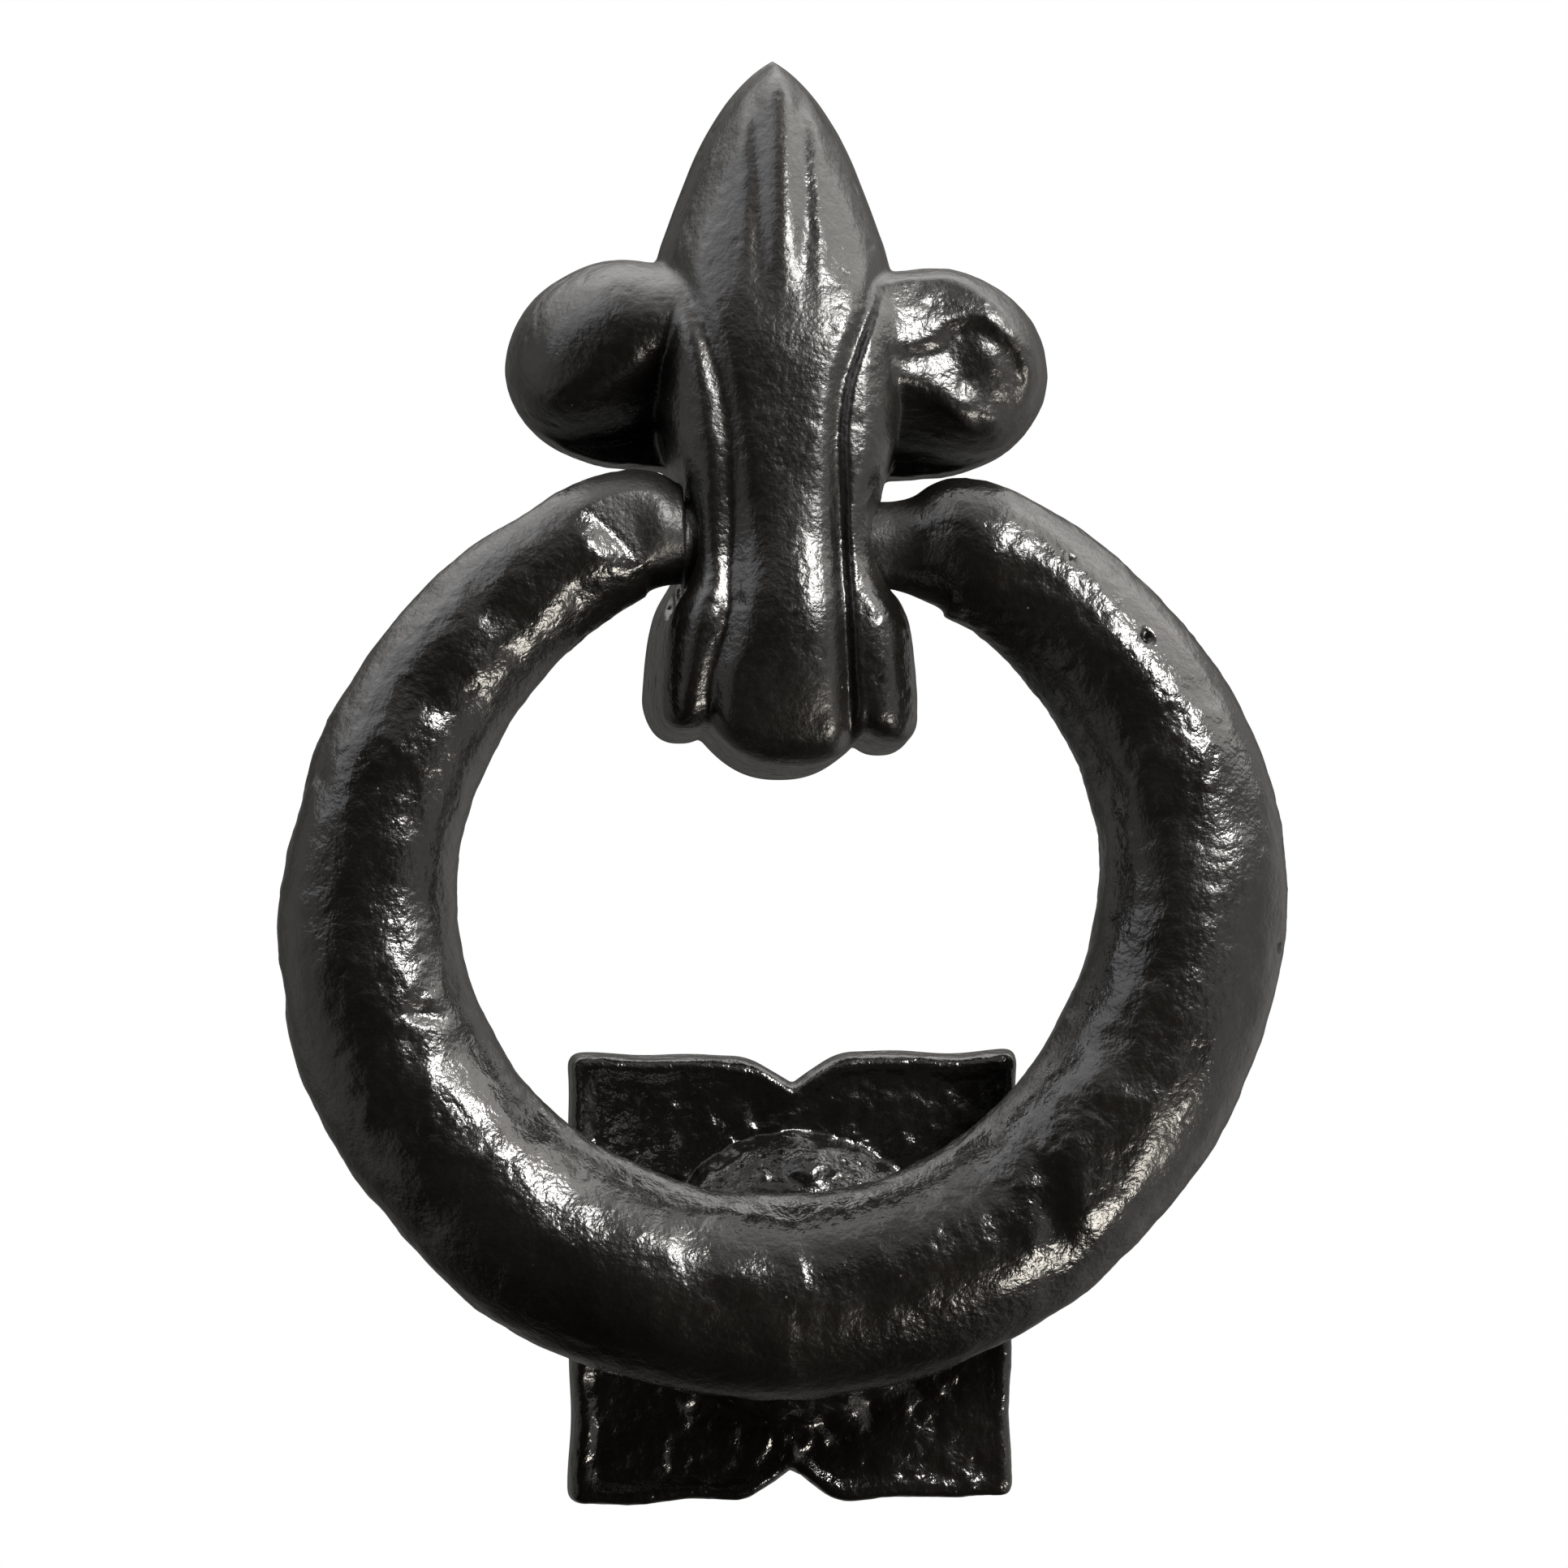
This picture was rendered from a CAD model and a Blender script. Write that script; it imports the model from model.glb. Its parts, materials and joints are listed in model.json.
# A black cast-iron door knocker: a fleur-de-lis head, a ring hung in two side sockets of the
# head, a square strike plate below, and the studs, washers and dome nuts that hold them.
# The door's front face is y = 0, the front looks along -Y, +Z is up and +X is right as seen
# from the front. x = 0, z = 0 is the ring's pivot. Lengths are in mm unless said otherwise.
import json
import math

import bmesh
import bpy
import numpy as np
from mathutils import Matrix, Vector


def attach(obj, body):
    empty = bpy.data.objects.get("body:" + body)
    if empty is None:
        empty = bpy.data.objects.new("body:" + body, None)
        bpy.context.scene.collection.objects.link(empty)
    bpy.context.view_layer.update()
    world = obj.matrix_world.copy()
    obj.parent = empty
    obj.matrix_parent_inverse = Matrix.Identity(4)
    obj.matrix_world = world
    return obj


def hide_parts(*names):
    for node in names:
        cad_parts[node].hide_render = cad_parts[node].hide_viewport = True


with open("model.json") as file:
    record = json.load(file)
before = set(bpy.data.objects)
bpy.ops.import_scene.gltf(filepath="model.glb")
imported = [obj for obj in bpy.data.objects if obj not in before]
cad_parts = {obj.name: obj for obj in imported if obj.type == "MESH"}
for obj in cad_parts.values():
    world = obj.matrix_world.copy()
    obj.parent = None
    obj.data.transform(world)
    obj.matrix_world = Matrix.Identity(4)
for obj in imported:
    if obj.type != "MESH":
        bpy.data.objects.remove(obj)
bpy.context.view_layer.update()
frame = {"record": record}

MM = 0.001

# ---- driving dimensions ----------------------------------------------------------------------
PIVOT_OUT = 18.0                      # pivot axis in front of the door
SOCKET_R, SOCKET_END_X = 6.0, 4.4
SPIGOT_R, SPIGOT_END_X = 5.5, 5.0
SPIGOT_CHAMFER = 0.6
# bores in the head along the pivot axis: side, radius, distance of the inner end from x = 0
PIVOT_BORES = ((-1, SOCKET_R, SOCKET_END_X), (1, SOCKET_R, SOCKET_END_X),
               (1, 7.2, 12.9), (1, 8.9, 16.2), (-1, 8.3, 12.1), (-1, 9.5, 13.2))
PIVOT_BORE_LENGTH = 22.0
RING_TILT = 4.25                      # degrees
RING_CENTRE = (-0.4, -41.9)           # x, z
STRIKE_X, STRIKE_Z = 2.4, -93.5
STRIKE_HALF, STRIKE_T = 28.9, 5.2
BOSS_H, BOSS_R = 12.1, 18.6
NOTCH_W, NOTCH_D = 5.6, 4.0
DOOR_T = 44.0
HOLE_R = 3.3
HEAD_HOLE_DEPTH, STRIKE_HOLE_DEPTH = 11.5, 9.2
HOLE_SPARE = 1.0                      # left empty past a stud's front end
STUD_END_Y = 54.0
WASHER_R, WASHER_BORE, WASHER_T = 9.0, 3.3, 1.6
NUT_AF, NUT_HEX_H, NUT_H = 10.0, 5.5, 12.0
HEAD_STUDS_Z = (41.0, -17.0)
# name, x, z, depth of the stud's hole
FIXINGS = (("head_upper", 0.0, HEAD_STUDS_Z[0], HEAD_HOLE_DEPTH),
           ("head_lower", 0.0, HEAD_STUDS_Z[1], HEAD_HOLE_DEPTH),
           ("strike", STRIKE_X, STRIKE_Z, STRIKE_HOLE_DEPTH))

# mesh fineness
CELL, VOXEL = ((0.3, 0.36))
RING_STEP, RING_SEGMENTS = ((0.45, 168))


# ---- curves and blends -----------------------------------------------------------------------
def blur(values, sigma, step, reach):
    """Gaussian blur of evenly spaced values, reaching the given number of samples each way."""
    kernel = np.exp(-0.5 * (np.arange(-reach, reach + 1) * step / sigma) ** 2)
    return np.convolve(np.pad(values, reach, mode="edge"), kernel / kernel.sum(), mode="valid")


def curve_of(stations, sigma):
    """A blurred curve through (position, value) stations, run on straight past both ends."""
    step, run_on = 0.05, 14
    place, value = np.array(stations, float).T
    spread = np.arange(place[0] - run_on, place[-1] + run_on, step)
    curve = np.interp(spread, place, value)
    first = (value[1] - value[0]) / (place[1] - place[0])
    last = (value[-1] - value[-2]) / (place[-1] - place[-2])
    curve = np.where(spread < place[0], value[0] + first * (spread - place[0]), curve)
    curve = np.where(spread > place[-1], value[-1] + last * (spread - place[-1]), curve)
    curve = blur(curve, sigma, step, int(4 * sigma / step))
    return lambda q: np.interp(q, spread, curve)


def soft_min(a, b, width):
    share = np.clip(0.5 + 0.5 * (b - a) / width, 0, 1)
    return b + (a - b) * share - width * share * (1 - share)


def soft_max(a, b, width):
    return -soft_min(-a, -b, width)


def bell(q, width):
    return np.exp(-0.5 * (q / width) ** 2)


def step_up(q, low, high):
    """0 below low, 1 above high, smooth between."""
    t = np.clip((q - low) / (high - low), 0, 1)
    return t * t * (3 - 2 * t)


def step_down(q, low, high):
    return 1 - step_up(q, low, high)


# ---- seeded noise ----------------------------------------------------------------------------
def lattice(ix, iy, iz, seed):
    """A hash of a grid corner, -1..1."""
    h = (ix * 374761393 + iy * 668265263 + iz * 2147483647 + seed * 974634777) & 0xFFFFFFFF
    h = ((h ^ (h >> 13)) * 1274126177) & 0xFFFFFFFF
    h = ((h ^ (h >> 16)) * 2246822519) & 0xFFFFFFFF
    return ((h ^ (h >> 15)) & 0xFFFFFF) / float(0xFFFFFF) * 2 - 1


def noise(points, wave, seed):
    """Smooth value noise in -1..1 with the given wavelength."""
    q = np.asarray(points, float) / wave + 1000.0
    cell = np.floor(q).astype(np.int64)
    f = q - cell
    f = f * f * f * (f * (f * 6 - 15) + 10)
    total = 0
    for dx in (0, 1):
        wx = f[..., 0] if dx else 1 - f[..., 0]
        for dy in (0, 1):
            wy = f[..., 1] if dy else 1 - f[..., 1]
            for dz in (0, 1):
                wz = f[..., 2] if dz else 1 - f[..., 2]
                corner = lattice(cell[..., 0] + dx, cell[..., 1] + dy, cell[..., 2] + dz, seed)
                total = total + wx * wy * wz * corner
    return total


def fractal(points, wave, seed, octaves=2):
    """Noise plus finer layers, each half the wavelength and strength of the last."""
    total = 0
    for k in range(octaves):
        total = total + 0.5 ** k * noise(points, wave / 2 ** k, seed + 31 * k)
    return total


# ---- head relief -----------------------------------------------------------------------------
WALL = 8.0                            # slope of the cast sides
GROWTH, GROWTH_Z = 1.018, -29.4       # the stations are enlarged by this, about this height
# Stem, by height z: slope of the sides
STEM_WALL = curve_of([(-30, 15), (-12, 15), (-6, 20), (6, 20), (12, 12), (30, 9), (44, 8),
                      (60, 6)], 1.5)
# half width of the raised middle band
BAND_HALF = curve_of([(-32, 8.6), (-24, 8.3), (-18, 8.0), (-11, 7.6), (0.5, 7.1), (12.6, 7.2),
                      (19.3, 8.0), (24, 9.2), (31.9, 12.0), (36, 14.0), (40, 15.5)], 0.7)
# half width of the stem
STEM_HALF = curve_of([
    (-30, 17.1), (-22.5, 17.3), (-19.5, 17.35), (-15, 17.0), (-12, 16.6), (-9.2, 15.9),
    (-7.4, 15.1), (-6, 14.1), (-4.4, 13.1), (-2, 12.5), (2, 12.4), (6, 12.9), (9, 14.0),
    (12, 15.2), (16, 16.0), (22, 16.4), (28, 16.6), (33, 15.6), (36, 14.7), (37.7, 14.3),
    (39.8, 13.5), (41.8, 12.8), (43.9, 12.0), (45.9, 11.2), (48, 10.4), (50, 9.5), (52.1, 8.4),
    (54.1, 7.2), (56.2, 5.8), (58.2, 4.1), (60.3, 1.9), (61.2, 0.4)], 0.7)
# height of the face off the door at the stem's middle
STEM_MID = curve_of([
    (-32, 26.6), (-28, 28.1), (-24, 29.5), (-20, 30.6), (-15, 31.2), (-11, 31.3), (-8, 30.9),
    (-5, 30.1), (-2, 29.3), (1, 28.6), (5, 28.0), (10, 27.6), (15, 27.2), (20, 26.7), (25, 25.9),
    (30, 24.5), (35, 22.9), (40, 21.3), (45, 19.4), (50, 17.2), (54, 15.2), (58, 12.6),
    (61, 9.5)], 1.6)
# fall of the face from the middle to the edge
STEM_DROP = curve_of([
    (-32, 3.4), (-20, 3.2), (-10, 3.4), (0, 3.0), (10, 3.6), (20, 5.0), (28, 6.2), (34, 8.0),
    (40, 8.2), (45, 7.8), (50, 6.8), (54, 5.6), (58, 3.6), (61, 1.2)], 1.8)
# Leaf: its centre (distance from x = 0, z) and its radius by angle from outwards, degrees
LEAF_CENTRE = (20.5, 22.8)
LEAF_R = curve_of([
    (-180, 22.0), (-150, 19.0), (-120, 15.3), (-101, 13.1), (-69, 12.5), (-47, 13.0),
    (-25, 13.45), (-6, 13.7), (21, 13.2), (43, 12.9), (61, 12.6), (92, 13.2), (109, 13.4),
    (121, 14.5), (140, 18.0), (160, 21.0), (180, 22.0)], 6.0)
# Right leaf's ear-shaped hollow: z of its lower lip and of its top, by x
EAR_LIP = curve_of([
    (4, 24.6), (8, 23.2), (11.5, 21.9), (14.2, 20.8), (17.5, 20.0), (20.4, 18.0), (22.8, 15.6),
    (25.0, 14.1), (27.5, 13.0), (29.5, 13.6), (32, 15.6), (36, 19.0)], 0.9)
EAR_TOP = curve_of([(8, 25.5), (12, 25.6), (15, 25.8), (17.5, 25.9), (19.5, 26.8), (22, 27.9),
                    (24, 28.8)], 0.8)


def stem_height(x, z, right):
    """The stem, its foot and the spear at its top."""
    left = 1 - right
    x = x - 0.8 * step_down(z, -2, 26)            # the stem and foot lean a little to the right
    across = np.abs(x) / GROWTH
    beside = left * bell(z - 1.5, 6.0)            # the left side is squarer by the ring's end
    half = STEM_HALF(z) + 0.55 * beside
    slope = (STEM_HALF(z + 0.3) - STEM_HALF(z - 0.3)) / 0.6
    spear = step_up(z, 26, 40) * (1 - 0.5 * step_up(z, 55, 60))
    band = step_down(z, 33.5, 38)

    share = np.clip(across / np.maximum(half, 0.6), 0, 1.6)
    front = STEM_MID(z) - STEM_DROP(z) * share ** (2.7 - 0.5 * spear)
    # the spear's middle ridge, then a groove and a bead on each side
    front += spear * (1.05 * bell(across, 1.5) - 0.36 * bell(across - 2.9, 0.75)
                      + 0.34 * bell(across - 4.5, 1.0))

    # the band falls off to a groove, with raised lines outside it
    groove = BAND_HALF(z) + 2.0 * left * step_down(z, -19, -8) - 1.0 * right * step_down(z, 14, 28)
    front -= (band * 1.9 * step_down(z, -4, 12) * step_down(-z, 18, 28)
              * np.clip(across / groove, 0, 1) ** 2.2)
    depth = 1.15 + 0.9 * step_down(z, -26, -15) + 0.5 * step_up(z, 20, 30)
    front -= band * depth * (0.72 + 0.28 * right) * bell(across - groove, 1.1 - 0.15 * right)
    front += band * right * 0.50 * bell(across - groove - 1.1, 0.42)
    front += (band * (1 - 0.7 * right) * 0.6 * step_up(z, 13, 26)
              * bell(across - groove - 3.0, 1.6))
    front += band * 0.5 * bell(across - (groove + half) / 2, 2.0) * step_down(z, 4, 16)

    # distance in from the outline, with three lobes along the toe of the foot
    edge = (half - across) / np.sqrt(1 + slope * slope)
    middle_lobe = -29.6 + 3.6 * (across / 8.6) ** 2.4
    side_lobe = -25.0 - 1.5 * right + 3.2 * (np.abs(across - 12.6) / 4.7) ** 2.6
    toe = np.minimum(middle_lobe, side_lobe)
    low = step_down(z, -20, -8)
    edge = np.where(low > 0, soft_min(edge, (z - toe) + 9.0 * (1 - low), 2.2), edge)

    # the rounded shoulder: its width and its fall
    roll = 4.6 - 0.4 * low - 1.4 * spear - 2.4 * beside
    fall = 6.5 - 1.5 * low - 1.5 * spear - 3.4 * beside
    wall = STEM_WALL(z)
    shoulder = edge - (front - fall) / wall
    front -= fall * (1 - np.sqrt(1 - (1 - np.clip(shoulder / roll, 0, 1)) ** 2.1))
    return soft_min(front, wall * edge, 1.2)


def leaf_height(x, z, drawn_z, right):
    """The two side leaves. drawn_z is z on the stations' scale."""
    left = 1 - right
    across = (np.abs(x) + 0.45 * left - 0.45 * right) / GROWTH
    up = drawn_z + 1.1 * right                    # the right leaf sits a little lower
    dx, dz = across - LEAF_CENTRE[0], up - LEAF_CENTRE[1]
    distance = np.sqrt(dx * dx + dz * dz)
    radius = LEAF_R(np.degrees(np.arctan2(dz, dx)))
    share = distance / radius
    dome = left * (21.6 - 0.22 * np.clip(across - 14, 0, 20))
    dome += right * (21.9 - 0.28 * np.clip(x - 13, 0, 6) - 0.14 * np.clip(x - 19, 0, 20))
    power = 2.9 + right * (1.4 + 2.2 * step_up(z, 15, 25))
    dome = dome * np.sqrt(np.clip(1 - share ** power, 0, 1)) + 0.9

    # the right leaf's crest has one flat, sloping face
    crest = 22.0 - 0.30 * (x - 13) - 0.29 * (z - 26.3) + 0.28 * soft_max(x - 18.5, 0, 3.0)
    crest -= 0.16 * soft_max(z - 29.5, 0, 2.0)
    dome = np.where(right > 0, soft_min(dome, crest + 40 * left, 0.8), dome)
    dome = np.where(share > 1, WALL * (radius - distance) + 0.9, dome)

    # left leaf: a broad shallow dish
    dome -= left * 0.8 * bell(across - 25.5, 3.4) * bell(up - 23.5, 5.0)

    # right leaf: an ear-shaped hollow, made of a bowl and a run leading in from the stem
    lip = (z - EAR_LIP(x)) * 0.79
    bowl_x = (x - 25.5) * 0.70 + (z - 22.4) * -0.71
    bowl_z = (x - 25.5) * 0.71 + (z - 22.4) * 0.70
    bowl = 1.35 * step_down(np.hypot(bowl_x / 8.0, bowl_z / 5.6), 0.60, 1.02)
    run = (0.75 + 0.6 * step_up(x, 14, 21)) * step_down(z - EAR_TOP(x), -3.1, 0.6)
    run *= step_up(x, 10.0, 13.5) * step_down(x, 22, 27)
    lip_slope = 0.31 + 0.09 * step_up(x, 22.5, 26.5)
    ear = soft_min(soft_max(bowl, run, 0.5), lip_slope * np.maximum(lip, 0), 0.3)
    # a bead in the hollow and a fine raised line along its lip
    bead_x = (x - 26.3) * 0.50 + (z - 23.8) * -0.87
    bead_z = (x - 26.3) * 0.87 + (z - 23.8) * 0.50
    dome -= right * (ear - 0.6 * bell(bead_x, 2.0) * bell(bead_z, 1.3))
    dome += right * 0.12 * bell(lip - 0.1, 1.2) * step_up(x, 11, 15) * step_down(x, 28, 32)

    # the face turns under below a line: soft on the left, crisper on the right
    left_below = (across - 14.6) * -0.560 + (up - 24.9) * -0.828
    below = left_below * left - lip * right
    soft = 2.4 - 0.8 * right
    turn = 0.5 * (below + np.sqrt(below * below + soft * soft))
    turn = turn - 0.5 * (np.sqrt(100 + soft * soft) - 10)
    under = dome - 1.5 * turn - 0.02 * turn * turn
    return soft_max(under, soft_min(dome, 5.5, 2.0), 2.0)


def head_height(x, z):
    """Height of the head's face off the door."""
    drawn_z = (z - GROWTH_Z) / GROWTH + GROWTH_Z
    right = step_up(x, -1.5, 1.5)
    return soft_max(stem_height(x, drawn_z, right), leaf_height(x, z, drawn_z, right), 1.5)


# ---- strike plate relief ---------------------------------------------------------------------
def notch(q):
    """Depth of the V notch in the middle of an edge."""
    return NOTCH_D * soft_max(1 - (q / NOTCH_W), 0, 0.35)


def strike_height(x, z):
    """Height of the strike plate's face off the door."""
    x, z = x - STRIKE_X, z - STRIKE_Z
    x, z = x - 0.006 * z, z - 0.010 * x           # slightly out of square
    x = x * (1 - 0.0004 * z)
    # the edges wander a little
    wander_z = 0.22 * np.sin(x * 0.21 + 0.6) + 0.16 * np.sin(x * 0.47 + z * 0.05) - 0.1
    wander_x = 0.20 * np.sin(z * 0.19 + 1.1) + 0.12 * np.sin(z * 0.43) - 0.12
    across, up = np.abs(x), np.abs(z)
    inside_x = STRIKE_HALF - across - notch(up) + wander_x - 0.05
    inside_z = STRIKE_HALF - up - notch(across - 0.3) + wander_z
    inside = soft_min(inside_x, inside_z, 2.0)
    rim = 0.55 * step_up(inside, 0.2, 1.5) * step_down(inside, 1.6, 3.6)
    plate = soft_min(STRIKE_T - 0.55 + rim, WALL * 1.6 * inside, 1.3)
    # the boss springs from just below the plate's face
    r = np.hypot(x, z)
    base = STRIKE_T - 1.5
    boss = base + (BOSS_H - STRIKE_T + 1.5) * np.sqrt(np.clip(1 - (r / BOSS_R) ** 3.2, 0, 1))
    boss = np.where(r > BOSS_R, base - 3 * (r - BOSS_R), boss)
    return np.where(inside > 0, soft_max(plate, boss, 1.8), plate)


# ---- mesh tools ------------------------------------------------------------------------------
def new_object(name, mesh):
    obj = bpy.data.objects.new(name, mesh)
    bpy.context.scene.collection.objects.link(obj)
    return obj


def loop_at(x, y, z, radii):
    """A loop of points about an axis along Y, one for each radius."""
    turns = [2 * math.pi * i / len(radii) for i in range(len(radii))]
    return [(x + r * math.cos(a), y, z + r * math.sin(a)) for a, r in zip(turns, radii)]


def circle(x, y, z, radius, segments):
    return loop_at(x, y, z, [radius] * segments)


def skin(name, loops, closed=False):
    """Joins loops of points into a skin, capped at the ends or closed into a tube."""
    loops = np.array(loops, float)
    count, n = loops.shape[:2]
    faces = []
    for i in range(count if closed else count - 1):
        after = (i + 1) % count
        for j in range(n):
            k = (j + 1) % n
            faces.append((i * n + j, i * n + k, after * n + k, after * n + j))
    if not closed:
        faces.append(tuple(range(n))[::-1])
        faces.append(tuple((count - 1) * n + j for j in range(n)))
    mesh = bpy.data.meshes.new(name)
    mesh.from_pydata((loops.reshape(-1, 3) * MM).tolist(), [], faces)
    bm = bmesh.new()
    bm.from_mesh(mesh)
    bmesh.ops.recalc_face_normals(bm, faces=bm.faces[:])
    bm.to_mesh(mesh)
    bm.free()
    return new_object(name, mesh)


def pivot_cutter(side, radius, start):
    ends = sorted((side * start, side * (start + PIVOT_BORE_LENGTH)))
    loops = [circle(-PIVOT_OUT, end, 0, radius, 64) for end in ends]
    # turned from Y to lie along X
    return skin("cutter", [[(y, x, z) for x, y, z in loop] for loop in loops])


def stud_cutter(x, z, depth):
    return skin("cutter", [circle(x, y, z, HOLE_R, 40) for y in (-depth, 8.0)])


def cut_flat(mesh, y):
    """Cuts off everything behind y and closes the back."""
    bm = bmesh.new()
    bm.from_mesh(mesh)
    every = bm.verts[:] + bm.edges[:] + bm.faces[:]
    bmesh.ops.bisect_plane(bm, geom=every, plane_co=(0, y * MM, 0), plane_no=(0, 1, 0),
                           clear_outer=True, dist=1e-7)
    rim = [v for v in bm.verts if v.is_boundary]
    for v in rim:
        v.co.y = y * MM
    bmesh.ops.remove_doubles(bm, verts=rim, dist=3e-5)
    bmesh.ops.triangle_fill(bm, edges=[e for e in bm.edges if e.is_boundary], use_beauty=True,
                            use_dissolve=False, normal=(0, 1, 0))
    bmesh.ops.recalc_face_normals(bm, faces=bm.faces[:])
    bm.to_mesh(mesh)
    bm.free()


def casting(name, height, half_x, z_low, z_high, cutters):
    """A dense cast body from its relief, with its bores, cut flat at the door face."""
    nx = int(round(2 * half_x / CELL))
    nz = int(round((z_high - z_low) / CELL))
    x, z = np.meshgrid(np.linspace(-half_x, half_x, nx + 1), np.linspace(z_low, z_high, nz + 1))
    h = np.clip(height(x, z), -6.0, 60.0)
    points = np.stack([x.ravel(), -h.ravel(), z.ravel()], 1) * MM
    n = nx + 1
    quads = [(j * n + i, j * n + i + 1, (j + 1) * n + i + 1, (j + 1) * n + i)
             for j in range(nz) for i in range(nx)]
    mesh = bpy.data.meshes.new(name)
    mesh.from_pydata(points.tolist(), [], quads)
    # some stock is left behind the door face until the surface has been evened out
    cut_flat(mesh, 3.0)
    obj = new_object(name, mesh)
    for tool in cutters:
        bore = obj.modifiers.new("bore", "BOOLEAN")
        bore.operation = "DIFFERENCE"
        bore.solver = "EXACT"
        bore.object = tool
    even = obj.modifiers.new("even", "REMESH")
    even.mode = "VOXEL"
    even.voxel_size = VOXEL * MM
    soft = obj.modifiers.new("soft", "SMOOTH")
    soft.factor = 0.5
    soft.iterations = 3
    graph = bpy.context.evaluated_depsgraph_get()
    dense = bpy.data.meshes.new_from_object(obj.evaluated_get(graph))
    for used in (obj, *cutters):
        bpy.data.objects.remove(used)
    cut_flat(dense, 0.0)
    dense.name = name
    return dense


def roughen(mesh, amount):
    """Moves each vertex along its normal by amount(points), all in mm."""
    points = np.empty(len(mesh.vertices) * 3)
    mesh.vertices.foreach_get("co", points)
    points = points.reshape(-1, 3) / MM
    normals = np.empty(len(mesh.vertices) * 3)
    mesh.vertex_normals.foreach_get("vector", normals)
    moved = points + normals.reshape(-1, 3) * amount(points)[:, None]
    mesh.vertices.foreach_set("co", (moved * MM).ravel())
    mesh.update()


def body_of(part):
    """The moving body a CAD piece belongs to."""
    for body, nodes in frame["record"]["behaviour"]["bodies"].items():
        if part in nodes:
            return body
    return "fixed"


def finish_piece(obj, material, part, sharp=None):
    """Shades a piece and puts it in place of its CAD part. sharp is in degrees."""
    obj.data.materials.clear()
    obj.data.materials.append(material)
    obj.data.shade_smooth()
    if sharp:
        obj.data.set_sharp_from_angle(angle=math.radians(sharp))
    # a flat back against the door meets the sides in a crisp corner
    for face in obj.data.polygons:
        if abs(face.center.y) < 2e-5 and face.normal.y > 0.99:
            face.use_smooth = False
    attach(obj, body_of(part))
    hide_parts(part)


# ---- shader node tools -----------------------------------------------------------------------
def add(tree, kind, inputs, output=0, **settings):
    """Adds a node and returns one output. Inputs are values, or sockets to link from."""
    made = tree.nodes.new(kind)
    for key, value in settings.items():
        setattr(made, key, value)
    for key, value in inputs.items():
        if isinstance(value, bpy.types.NodeSocket):
            tree.links.new(value, made.inputs[key])
        else:
            made.inputs[key].default_value = value
    return made.outputs[output]


def noise_texture(tree, place, scale, detail=2.0, roughness=0.5):
    return add(tree, "ShaderNodeTexNoise", {"Scale": scale, "Detail": detail,
                                            "Roughness": roughness, "Vector": place})


def remap(tree, source, old, new, **settings):
    """Maps the range old (from, to) onto new."""
    return add(tree, "ShaderNodeMapRange", {"From Min": old[0], "From Max": old[1],
                                            "To Min": new[0], "To Max": new[1],
                                            "Value": source}, **settings)


def maths(tree, operation, first, second):
    return add(tree, "ShaderNodeMath", {0: first, 1: second}, operation=operation)


def mix(tree, factor, first, second, **settings):
    """Mixes two colours."""
    return add(tree, "ShaderNodeMix", {0: factor, 6: first, 7: second}, 2,
               data_type="RGBA", **settings)


def bump(tree, height, strength, distance):
    return add(tree, "ShaderNodeBump",
               {"Strength": strength, "Distance": distance, "Height": height})


def new_material(name):
    material = bpy.data.materials.new(name)
    material.use_nodes = True
    tree = material.node_tree
    return material, tree, tree.nodes["Principled BSDF"]


# ---- materials -------------------------------------------------------------------------------
# x, z of the way up and inwards across the flattened face at the ring's left end
INWARD = (0.721, 0.693)


def ring_end_mask(tree, place):
    """1 at the ring's two ends, where they go into the stem. Object coordinates, metres."""
    at = add(tree, "ShaderNodeSeparateXYZ", {"Vector": place}).node
    x, z = at.outputs["X"], at.outputs["Z"]
    inner = maths(tree, "ADD", maths(tree, "MULTIPLY", x, INWARD[0]),
                  maths(tree, "MULTIPLY", z, INWARD[1]))
    left = maths(tree, "MULTIPLY", remap(tree, inner, (-0.0148, -0.0128), (0.0, 1.0)),
                 remap(tree, x, (-0.001, 0.001), (1.0, 0.0)))
    right = maths(tree, "MULTIPLY", remap(tree, x, (-0.001, 0.001), (0.0, 1.0)),
                  remap(tree, x, (0.0145, 0.0175), (1.0, 0.0)))
    return maths(tree, "MULTIPLY", maths(tree, "ADD", left, right),
                 remap(tree, z, (-0.018, -0.012), (0.0, 1.0)))


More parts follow.
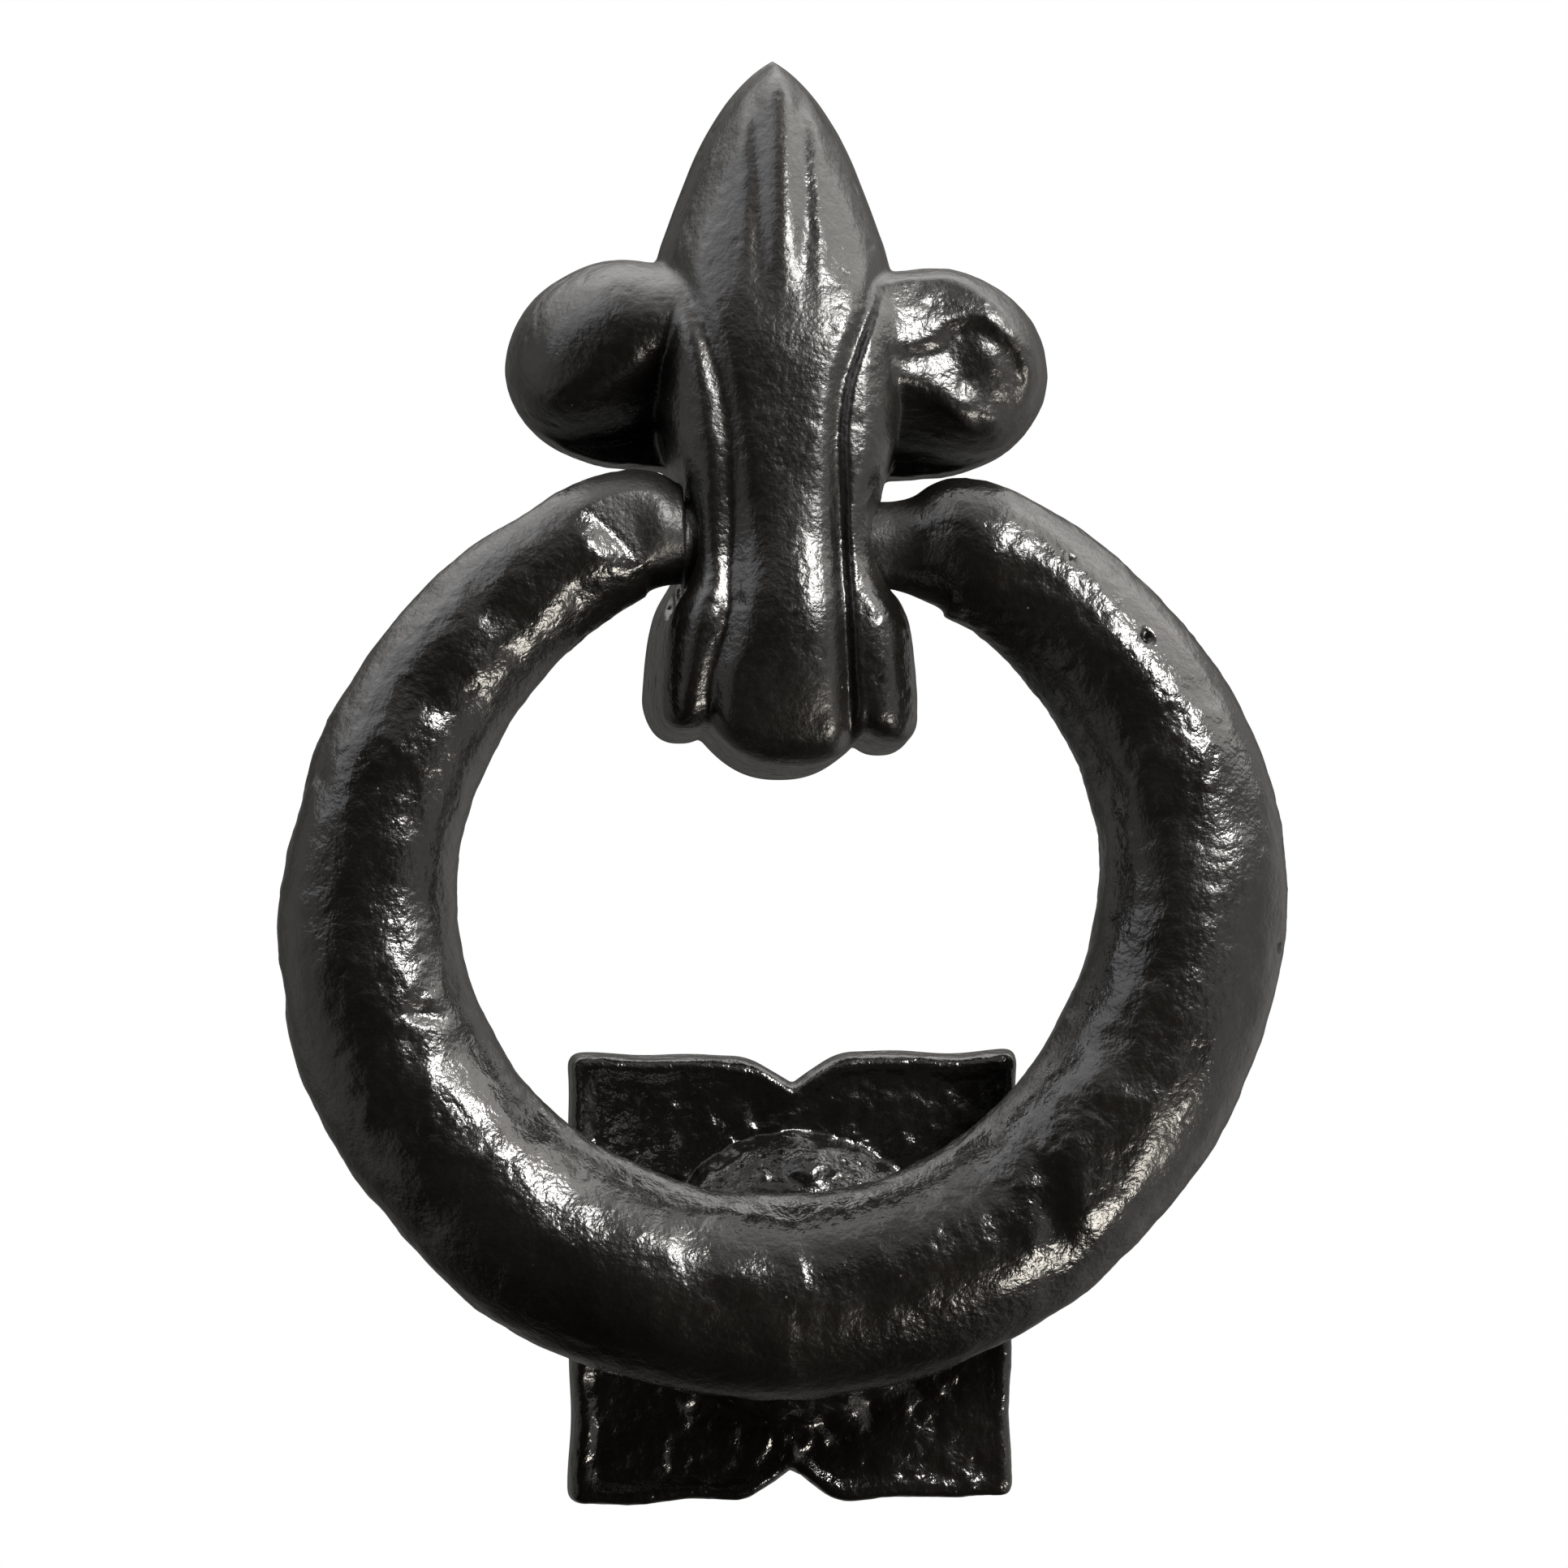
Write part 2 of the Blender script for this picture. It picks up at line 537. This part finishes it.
def black_paint(name, roughness, grain, shift, dull_ends=False):
    """Satin black paint over a casting: fine grain, orange peel, uneven sheen, pale specks.
    grain scales the bump and shift moves the textures; dull_ends is for the ring only."""
    material, tree, shader = new_material(name)
    place = add(tree, "ShaderNodeTexCoord", {}, "Object")
    moved = add(tree, "ShaderNodeMapping",
                {"Location": (shift, shift * 0.7, -shift), "Vector": place})
    patches = noise_texture(tree, moved, scale=55, detail=4, roughness=0.6)
    fine = noise_texture(tree, moved, scale=1150, detail=2, roughness=0.55)
    peel = noise_texture(tree, moved, scale=1900, detail=1.5)
    sheen = remap(tree, patches, (0.3, 0.7), (roughness - 0.05, roughness + 0.08))
    rough = maths(tree, "ADD", sheen, remap(tree, fine, (0.25, 0.75), (-0.05, 0.07)))
    if dull_ends:
        ends = ring_end_mask(tree, place)
        rough = maths(tree, "ADD", rough, maths(tree, "MULTIPLY", ends, 0.26))

    # specks: small dots, kept in only a few of the cells
    cells = add(tree, "ShaderNodeTexVoronoi",
                {"Scale": 420, "Randomness": 1.0, "Vector": moved}).node
    dot = remap(tree, cells.outputs["Distance"], (0.035, 0.075), (1.0, 0.0))
    pick = add(tree, "ShaderNodeSeparateColor", {"Color": cells.outputs["Color"]}, "Red")
    specks = maths(tree, "MULTIPLY", dot, remap(tree, pick, (0.90, 0.94), (0.0, 1.0)))

    black = mix(tree, remap(tree, patches, (0.3, 0.7), (0.0, 1.0)),
                (0.0036, 0.0032, 0.0027, 1), (0.0068, 0.0060, 0.0050, 1))
    colour = mix(tree, maths(tree, "MULTIPLY", specks, 0.55), black, (0.16, 0.15, 0.13, 1))
    tree.links.new(colour, shader.inputs["Base Color"])
    rough = maths(tree, "ADD", rough, maths(tree, "MULTIPLY", specks, 0.3))
    tree.links.new(rough, shader.inputs["Roughness"])
    shader.inputs["IOR"].default_value = 1.52
    shader.inputs["Metallic"].default_value = 0.0
    height = maths(tree, "ADD", maths(tree, "MULTIPLY", fine, 1.0),
                   maths(tree, "MULTIPLY", peel, 0.4))
    tree.links.new(bump(tree, height, strength=0.42 * grain, distance=0.00030),
                   shader.inputs["Normal"])
    return material


def zinc(name):
    """Zinc plate with a mottled sheen and tint."""
    material, tree, shader = new_material(name)
    place = add(tree, "ShaderNodeTexCoord", {}, "Object")
    mottle = noise_texture(tree, place, scale=260, detail=4)
    tree.links.new(remap(tree, mottle, (0.0, 1.0), (0.24, 0.42)), shader.inputs["Roughness"])
    tint = mix(tree, mottle, (0.52, 0.53, 0.55, 1), (0.66, 0.65, 0.62, 1))
    tree.links.new(tint, shader.inputs["Base Color"])
    shader.inputs["Metallic"].default_value = 1.0
    grain = noise_texture(tree, place, scale=2200)
    tree.links.new(bump(tree, grain, strength=0.12, distance=0.0001), shader.inputs["Normal"])
    return material


PAINT_HEAD = black_paint("black_iron_head", roughness=0.26, grain=0.8, shift=0.0)
PAINT_RING = black_paint("black_iron_ring", roughness=0.20, grain=0.9, shift=0.31,
                         dull_ends=True)
PAINT_STRIKE = black_paint("black_iron_strike", roughness=0.16, grain=1.1, shift=0.77)
ZINC = zinc("zinc_steel")


# ---- head ------------------------------------------------------------------------------------
def head_roughness(points):
    across = np.abs(points[:, 0])
    lump = 0.12 * fractal(points, 9.0, seed=3) + 0.045 * fractal(points, 3.2, seed=5)
    lump += 0.030 * noise(points, 1.25, seed=7)
    # rougher sides and leaves, cleaner middle band
    lump += step_up(across, 12, 18) * 0.07 * fractal(points, 2.6, seed=11)
    # small hollows
    lump -= 0.16 * np.clip(noise(points, 1.9, seed=13) - 0.60, 0, 1) * 2.4
    fade = step_up(-points[:, 1], 0.3, 2.0)
    # the sockets and their faces stay nearly true
    from_axis = np.hypot(points[:, 1] + PIVOT_OUT, points[:, 2])
    fade *= 1 - (from_axis < 9.2) * (across > 4.0) * (across < 16.5) * 0.8
    return lump * fade


def build_head():
    cutters = [pivot_cutter(*bore) for bore in PIVOT_BORES]
    cutters += [stud_cutter(0, z, HEAD_HOLE_DEPTH) for z in HEAD_STUDS_Z]
    mesh = casting("fleur_head_casting", head_height, half_x=39.0, z_low=-33.0, z_high=66.0,
                   cutters=cutters)
    roughen(mesh, head_roughness)
    finish_piece(new_object("fleur_head_casting", mesh), PAINT_HEAD, "fleur_head")


# ---- ring ------------------------------------------------------------------------------------
# Inner and outer radius of the ring, by angle round it from its foot: degrees, + to the right
RING_SWEEP = (-145, 143)
RING_INNER = curve_of([
    (-145, 38.8), (-130, 38.6), (-115, 38.9), (-100, 39.6), (-88, 40.45), (-75, 40.8),
    (-45, 40.9), (-20, 40.1), (0, 39.9), (30, 39.6), (60, 39.4), (75, 39.8), (90, 40.4),
    (105, 40.4), (120, 40.1), (130, 39.6), (143, 39.6)], 5.0)
RING_OUTER = curve_of([
    (-145, 55.9), (-130, 57.1), (-115, 58.65), (-100, 60.8), (-88, 62.3), (-75, 64.1),
    (-60, 65.1), (-30, 65.8), (0, 65.2), (30, 64.5), (60, 64.2), (90, 64.1), (105, 62.9),
    (120, 60.8), (130, 59.3), (143, 57.8)], 5.0)
# The ring's two ends, spigot included: x, z, radius of the bar
LEFT_END = [
    (-SPIGOT_END_X, 0, SPIGOT_R - SPIGOT_CHAMFER), (-SPIGOT_END_X - SPIGOT_CHAMFER, 0, SPIGOT_R),
    (-9.0, 0, SPIGOT_R), (-12.3, 0, SPIGOT_R), (-12.45, 1.55, 6.35), (-13.5, 1.75, 6.6),
    (-14.4, 1.85, 6.85), (-15.3, 1.95, 7.15), (-16.4, 1.95, 7.55), (-18.4, 1.7, 8.05),
    (-20.8, 0.95, 8.35), (-24.6, -0.9, 8.6)]
RIGHT_END = [
    (25.0, -0.9, 9.35), (23.0, -0.1, 9.05), (20.9, 0.2, 8.6), (18.7, 0.0, 7.4),
    (17.0, -0.15, 6.3), (15.6, -0.1, 5.7), (14.5, 0, SPIGOT_R), (9.0, 0, SPIGOT_R),
    (SPIGOT_END_X + SPIGOT_CHAMFER, 0, SPIGOT_R), (SPIGOT_END_X, 0, SPIGOT_R - SPIGOT_CHAMFER)]
MARK_RADIUS = 52.0                    # turns angles round the ring into lengths
# Dents: angle round the ring, angle round the bar (0 in front, + outwards), size along the
# bar, size round it, depth, turn in degrees, power (2 is a bell, 3 has a flatter floor)
DENTS = (
    (38.5, 6, 1.7, 6.5, 0.9, 28, 2), (31, -14, 5.5, 5.0, 0.35, 0, 3),
    (52, 22, 6.0, 4.5, 0.40, 10, 3), (64, -8, 4.5, 6.5, 0.38, -20, 3),
    (80, 30, 5.5, 5.0, 0.42, 0, 3), (97, 8, 4.0, 6.0, 0.32, 15, 3),
    (-62, -30, 3.4, 5.0, 0.40, 20, 3), (-88, 5, 6.0, 5.0, 0.30, 0, 3),
    (-118, -20, 3.2, 5.5, 0.42, -25, 3), (-133, 10, 2.6, 5.0, 0.35, 10, 3),
    (-30, -26, 5.0, 4.0, 0.36, -15, 3), (-12, -32, 4.5, 3.2, 0.40, 12, 3),
    (-101.6, 62, 1.0, 1.6, 0.5, 0, 2), (-68.7, -25, 0.9, 2.0, 0.55, 30, 2),
    (14, 20, 5.0, 6.0, 0.30, 0, 3))
# Casting pits: angle round the ring, angle round the bar, radius, depth
PITS = (
    (122.4, 24, 0.62, 0.95), (137, 30, 0.36, 0.5), (81.9, 68, 0.4, 0.5), (128, 18, 0.25, 0.3),
    (58, 35, 0.3, 0.35), (-45, 12, 0.28, 0.3), (-77, 20, 0.3, 0.35), (20, 30, 0.3, 0.35))


def ring_line():
    """The bar's middle line as rows of x, z, radius, and the distance run at each row."""
    angle = np.linspace(*RING_SWEEP, 160)
    inner, outer = RING_INNER(angle), RING_OUTER(angle)
    middle, angle = (inner + outer) / 2, np.radians(angle)
    body = list(zip(RING_CENTRE[0] + middle * np.sin(angle),
                    RING_CENTRE[1] - middle * np.cos(angle), (outer - inner) / 2))
    line = np.array(LEFT_END + body + RIGHT_END)
    run = np.concatenate([[0], np.cumsum(np.hypot(np.diff(line[:, 0]), np.diff(line[:, 1])))])
    length, step = run[-1], 0.25
    fine = np.arange(0, length, step)
    exact = np.stack([np.interp(fine, run, line[:, k]) for k in range(3)], 1)
    soft = np.stack([blur(exact[:, k], 1.5, step, 16) for k in range(3)], 1)
    # the blur spares the spigots
    share = step_up(np.minimum(fine, length - fine), 8.0, 10.0)[:, None]
    soft = exact * (1 - share) + soft * share
    marks = np.linspace(0, length, int(length / RING_STEP) + 1)
    return np.stack([np.interp(marks, fine, soft[:, k]) for k in range(3)], 1), marks


def ring_relief(line, run, base, ring_angle, bar_angle):
    """Outward offset of each point of the bar. The angles are in degrees, as for DENTS."""
    radius = line[:, 2:]
    along = run[:, None] + 0 * ring_angle
    around = radius * np.radians(bar_angle)

    def from_mark(ring_at, bar_at):
        """Lengths along and round the bar from a mark."""
        return (np.radians(ring_angle - ring_at) * MARK_RADIUS,
                radius * np.radians(bar_angle - bar_at))

    # broad to fine unevenness
    relief = 0.26 * fractal(base, 17.0, seed=21) + 0.17 * fractal(base, 6.5, seed=23)
    relief += 0.075 * fractal(base, 2.4, seed=27, octaves=3)
    # hammering across the bar
    hammer = np.stack([along / 1.0, around / 4.2, 0 * along], -1)
    where = step_up(fractal(base, 15.0, seed=33), -0.5, 0.5)
    relief += 0.05 * fractal(hammer, 3.4, seed=31) * where
    relief += 0.02 * fractal(hammer, 1.5, seed=37)
    # rough patches and fine grain
    patch = step_up(fractal(base, 12.0, seed=41), 0.05, 0.6)
    relief += patch * 0.08 * fractal(base, 1.3, seed=43)
    relief += 0.018 * noise(base, 0.85, seed=45)
    # open dents
    relief -= 0.35 * np.clip(noise(base, 8.0, seed=47) - 0.35, 0, 1) ** 1.3 * 2.2

    for ring_at, bar_at, size_along, size_round, depth, turn, power in DENTS:
        u, w = from_mark(ring_at, bar_at)
        c, s = math.cos(math.radians(turn)), math.sin(math.radians(turn))
        q = ((u * c + w * s) / size_along) ** 2 + ((-u * s + w * c) / size_round) ** 2
        relief += -depth * np.exp(-0.5 * q ** (power / 2))

    # a flattened face near the left end, with a crisp step along its lower left side
    x, z = base[..., 0], base[..., 2]
    inward = (x + 23.4) * INWARD[0] + (z - 2.6) * INWARD[1]
    forward = np.cos(np.radians(bar_angle))
    flat = np.clip((inward + 3.2) / 3.2, 0, 1) * (x < -8) * (z > -12) * (forward > 0.4)
    face = 6.0 + 0.10 * np.maximum(-12.5 - x, 0)
    cut = np.clip(radius * forward - face, 0, 3) / np.maximum(forward, 0.4)
    relief = relief * (1 - 0.6 * flat) - flat * cut

    # a wavy ridge across the foot of the ring
    wave = from_mark(1.6, 0)[0] + 0.8 * np.sin(around * 0.33) + 0.35 * np.sin(around * 0.9)
    wave = wave + 0.05 * around
    relief += (0.15 * step_up(wave, -4.0, -0.2) * step_down(wave, -0.2, 0.55)
               * step_up(bar_angle, -34, -18) * step_down(bar_angle, 52, 66))

    # each pit has a faint trough round it
    for ring_at, bar_at, size, depth in PITS:
        q = np.hypot(*from_mark(ring_at, bar_at)) / size
        relief -= depth * np.exp(-0.5 * q ** 4) - 0.06 * bell(q - 1.6, 0.4)

    # the spigots stay true, and the bar's back stays off the boss
    relief *= np.where(line[:, 1:2] <= -40, 1, step_up(np.abs(line[:, :1]), 14.2, 19.0))
    back = step_up(-forward, 0.2, 0.75) * step_down(np.abs(ring_angle), 26, 38)
    relief = relief * (1 - 0.8 * back) - 0.05 * back
    return np.minimum(relief, 0.45)


def build_ring():
    line, run = ring_line()
    x, z = line[:, 0], line[:, 1]
    tangent = np.gradient(line[:, :2], axis=0)
    tangent /= np.linalg.norm(tangent, axis=1)[:, None]
    # near the spigots the sections stand square to the pivot
    square = np.where(z <= -40, 0, step_down(np.abs(x), 14.6, 19.5))[:, None]
    tangent = tangent * (1 - square) + np.array([-1.0, 0.0]) * square
    tangent /= np.linalg.norm(tangent, axis=1)[:, None]

    # unit directions out of the bar, and the plain round bar
    turn = 2 * np.pi * np.arange(RING_SEGMENTS) / RING_SEGMENTS
    side_x, side_z = -tangent[:, 1][:, None], tangent[:, 0][:, None]
    cosine, sine = np.cos(turn)[None, :], np.sin(turn)[None, :]
    outward = np.stack([cosine * side_x, -sine + 0 * side_x, cosine * side_z], -1)
    centre = np.stack([x, 0 * x, z], -1)[:, None, :]
    base = centre + line[:, 2][:, None, None] * outward

    ring_angle = np.degrees(np.arctan2(x - RING_CENTRE[0], -(z - RING_CENTRE[1])))[:, None]
    ring_angle = ring_angle + 0 * turn[None, :]
    angle = np.radians(ring_angle)
    from_centre = np.stack([np.sin(angle), 0 * angle, -np.cos(angle)], -1)
    bar_angle = np.degrees(np.arctan2((outward * from_centre).sum(-1), -outward[..., 1]))
    relief = ring_relief(line, run, base, ring_angle, bar_angle)
    points = base + relief[..., None] * outward

    # hang it at its tilt from the pivot
    c, s = math.cos(math.radians(-RING_TILT)), math.sin(math.radians(-RING_TILT))
    y = points[..., 1] * c - points[..., 2] * s
    z = points[..., 1] * s + points[..., 2] * c
    obj = skin("knocker_ring_casting", np.stack([points[..., 0], y - PIVOT_OUT, z], -1))
    finish_piece(obj, PAINT_RING, "knocker_ring", sharp=70)


# ---- strike plate ----------------------------------------------------------------------------
def strike_roughness(points):
    x, z = points[:, 0] - STRIKE_X, points[:, 2] - STRIKE_Z
    r = np.hypot(x, z)
    lump = 0.26 * fractal(points, 8.0, seed=61) + 0.15 * fractal(points, 3.0, seed=63)
    lump += 0.05 * noise(points, 1.2, seed=67)
    lump += step_down(r, 15, 20) * 0.13 * fractal(points, 1.35, seed=71)
    # the boss's edge runs unevenly into the plate
    skirt = step_up(r, 11, 14.5) * step_down(r, 20, 25)
    lump += skirt * (0.50 * fractal(points, 4.4, seed=75) + 0.22 * fractal(points, 2.0, seed=77))
    lump += 0.10 * fractal(points, 1.5, seed=83) * step_up(r, 18, 22)
    # small hollows
    lump -= 0.35 * np.clip(noise(points, 2.6, seed=73) - 0.5, 0, 1) * 1.6
    # calmer at the rim
    rim = np.minimum(STRIKE_HALF - np.abs(x), STRIKE_HALF - np.abs(z))
    lump *= 0.35 + 0.65 * step_up(rim, 0.5, 4.0)
    # the boss's crown is smoother and slightly lowered
    crown = step_down(r, 7, 13)
    lump = lump * (1 - 0.6 * crown) - 0.12 * crown
    return np.clip(lump, -0.7, 0.35) * step_up(-points[:, 1], 0.2, 1.2)


def build_strike():
    mesh = casting("strike_plate_casting", strike_height, half_x=35.0,
                   z_low=STRIKE_Z - 32.0, z_high=STRIKE_Z + 32.0,
                   cutters=[stud_cutter(STRIKE_X, STRIKE_Z, STRIKE_HOLE_DEPTH)])
    roughen(mesh, strike_roughness)
    finish_piece(new_object("strike_plate_casting", mesh), PAINT_STRIKE, "strike_plate")


# ---- fixings ---------------------------------------------------------------------------------
def stud(name, x, z, inside):
    """Studding with an M6 x 1 thread along its whole length."""
    segments, pitch, step = 24, 1.0, 0.125
    crest_r, thread_depth, end_r, end_slope = 2.98, 0.55, 2.35, 0.9
    loops = []
    for y in np.arange(-inside, STUD_END_Y + 1e-6, step):
        end = min(y + inside, STUD_END_Y - y)
        radii = []
        for i in range(segments):
            phase = ((y / pitch) - i / segments) % 1.0
            crest = abs(phase - 0.5) * 2
            cut = thread_depth * min(1.0, max(0.0, (1 - crest) * 1.15 - 0.02))
            radii.append(min(crest_r - cut, end_r + end * end_slope))
        loops.append(loop_at(x, y, z, radii))
    finish_piece(skin(name + "_thread", loops), ZINC, name, sharp=50)


def washer(name, x, z):
    front, back = DOOR_T, DOOR_T + WASHER_T
    # section through one side: y, radius
    profile = [
        (front, WASHER_BORE + 0.12), (front, WASHER_R - 0.30), (front + 0.08, WASHER_R - 0.10),
        (front + 0.28, WASHER_R - 0.01), (back - 0.28, WASHER_R - 0.01),
        (back - 0.08, WASHER_R - 0.10), (back, WASHER_R - 0.30), (back, WASHER_R - 2.6),
        (back, WASHER_BORE + 0.12), (back - 0.12, WASHER_BORE), (front + 0.12, WASHER_BORE)]
    loops = [circle(x, y, z, r, 72) for y, r in profile]
    finish_piece(skin(name + "_disc", loops, closed=True), ZINC, name, sharp=35)


def dome_nut(name, x, z):
    segments, sixth, dome_steps = 96, math.pi / 3, 16
    start = DOOR_T + WASHER_T + 0.3
    dome_r = NUT_AF * 0.475
    hex_end = start + NUT_HEX_H
    spring = start + NUT_H - dome_r

    def hexagon(y, limit):
        radii = []
        for i in range(segments):
            off_flat = ((2 * math.pi * i / segments + sixth / 2) % sixth) - sixth / 2
            radii.append(float(soft_min(NUT_AF / 2 / math.cos(off_flat), limit, 0.12)))
        return loop_at(x, y, z, radii)

    # bore and its mouth, 30 degree chamfers at both ends of the hexagon, then the dome
    chamfer = [(0.10 * k, NUT_AF * 0.5 - 0.05 + 0.10 * k * 1.73) for k in range(6)]
    loops = [circle(x, start + y, z, r, segments) for y, r in ((8.8, 3.3), (0.5, 3.3), (0, 3.7))]
    loops += [hexagon(start + inset, limit) for inset, limit in chamfer]
    loops += [hexagon(hex_end - inset, limit) for inset, limit in reversed(chamfer)]
    dome = [(hex_end, dome_r + 0.1), (hex_end + 0.15, dome_r - 0.05), (spring, dome_r - 0.05)]
    for k in range(1, dome_steps):
        rise = math.radians(90 * k / dome_steps)
        dome.append((spring + dome_r * math.sin(rise), (dome_r - 0.05) * math.cos(rise)))
    loops += [circle(x, y, z, r, segments) for y, r in dome]
    finish_piece(skin(name + "_cap", loops), ZINC, name, sharp=28)


build_head()
build_ring()
build_strike()
for prefix, x, z, depth in FIXINGS:
    stud(prefix + "_stud", x, z, depth - HOLE_SPARE)
    washer(prefix + "_washer", x, z)
    dome_nut(prefix + "_dome_nut", x, z)

# ---- camera and studio, in metres ------------------------------------------------------------
scene = bpy.context.scene
TARGET = Vector((0.0004, -0.018, -0.0301))
FLOOR_HALF, FLOOR_Z = 1.5, -0.19


def direction(azimuth, elevation):
    """Unit vector from the target, in degrees: azimuth 0 is in front, + to the right."""
    a, e = math.radians(azimuth), math.radians(elevation)
    return Vector((math.sin(a) * math.cos(e), -math.cos(a) * math.cos(e), math.sin(e)))


def aim(obj, way, distance):
    """Puts an object that way from the target, looking at it."""
    obj.location = TARGET + way * distance
    obj.rotation_euler = way.to_track_quat("Z", "Y").to_euler()


def build_camera():
    obj = new_object("camera", bpy.data.cameras.new("camera"))
    aim(obj, direction(azimuth=-3.5, elevation=0.0), distance=0.80)
    obj.data.lens = 145.7
    obj.data.sensor_width = 36.0
    obj.data.clip_start = 0.01
    scene.camera = obj


def build_world():
    """A dim room for the reflections; the camera itself sees white."""
    world = bpy.data.worlds.new("studio")
    scene.world = world
    world.use_nodes = True
    tree = world.node_tree
    seen = add(tree, "ShaderNodeLightPath", {}, "Is Camera Ray")
    where = add(tree, "ShaderNodeTexCoord", {}, "Generated")
    x, y, z = add(tree, "ShaderNodeSeparateXYZ", {"Vector": where}).node.outputs

    def glow(axis, span, level):
        return remap(tree, axis, span, level, interpolation_type="SMOOTHSTEP")

    # a pale ceiling, dimmer towards the front
    total = maths(tree, "MULTIPLY", glow(z, (0.28, 0.96), (0.02, 3.3)),
                  glow(y, (-0.6, 0.35), (0.25, 1.0)))
    # grey behind, a pale board on the right and a fainter one on the left
    parts = [glow(y, (0.1, 1.0), (0.0, 0.14)), glow(x, (0.35, 0.95), (0.0, 0.72)),
             glow(x, (-0.6, -1.0), (0.0, 0.55))]
    for part in parts:
        total = maths(tree, "ADD", total, part)
    room = mix(tree, total, (0, 0, 0, 1), (1.0, 0.98, 0.95, 1), clamp_factor=False)
    tree.links.new(mix(tree, seen, room, (1, 1, 1, 1)), tree.nodes["Background"].inputs["Color"])


def softbox(name, azimuth, elevation, distance, size, power, colour):
    """A square area light."""
    light = bpy.data.lights.new(name, "AREA")
    light.shape = "RECTANGLE"
    light.size = light.size_y = size
    light.energy = power
    light.color = colour
    obj = new_object(name, light)
    aim(obj, direction(azimuth, elevation), distance)


def build_floor():
    """A white floor that only the camera sees."""
    mesh = bpy.data.meshes.new("floor")
    corners = [(x * FLOOR_HALF, y * FLOOR_HALF, FLOOR_Z)
               for x, y in ((-1, -1), (1, -1), (1, 1), (-1, 1))]
    mesh.from_pydata(corners, [], [(0, 1, 2, 3)])
    floor = new_object("floor", mesh)
    material, tree, shader = new_material("pale_floor")
    tree.nodes.remove(shader)
    glow = add(tree, "ShaderNodeEmission", {"Color": (1, 1, 1, 1)})
    tree.links.new(glow, tree.nodes["Material Output"].inputs["Surface"])
    mesh.materials.append(material)
    floor.visible_diffuse = False
    floor.visible_glossy = False
    floor.visible_shadow = False


build_camera()
scene.view_settings.view_transform = "Standard"
scene.view_settings.look = "None"
build_world()
softbox("key", azimuth=36, elevation=31, distance=1.2, size=0.32, power=21.0,
        colour=(1.0, 0.98, 0.94))
softbox("low", azimuth=48, elevation=-32, distance=1.2, size=0.32, power=9.0,
        colour=(1.0, 0.94, 0.84))
softbox("right", azimuth=80, elevation=42, distance=1.1, size=0.9, power=7.0,
        colour=(1.0, 0.97, 0.92))
softbox("fill", azimuth=-74, elevation=40, distance=1.1, size=0.9, power=3.4,
        colour=(0.92, 0.92, 1.0))
build_floor()
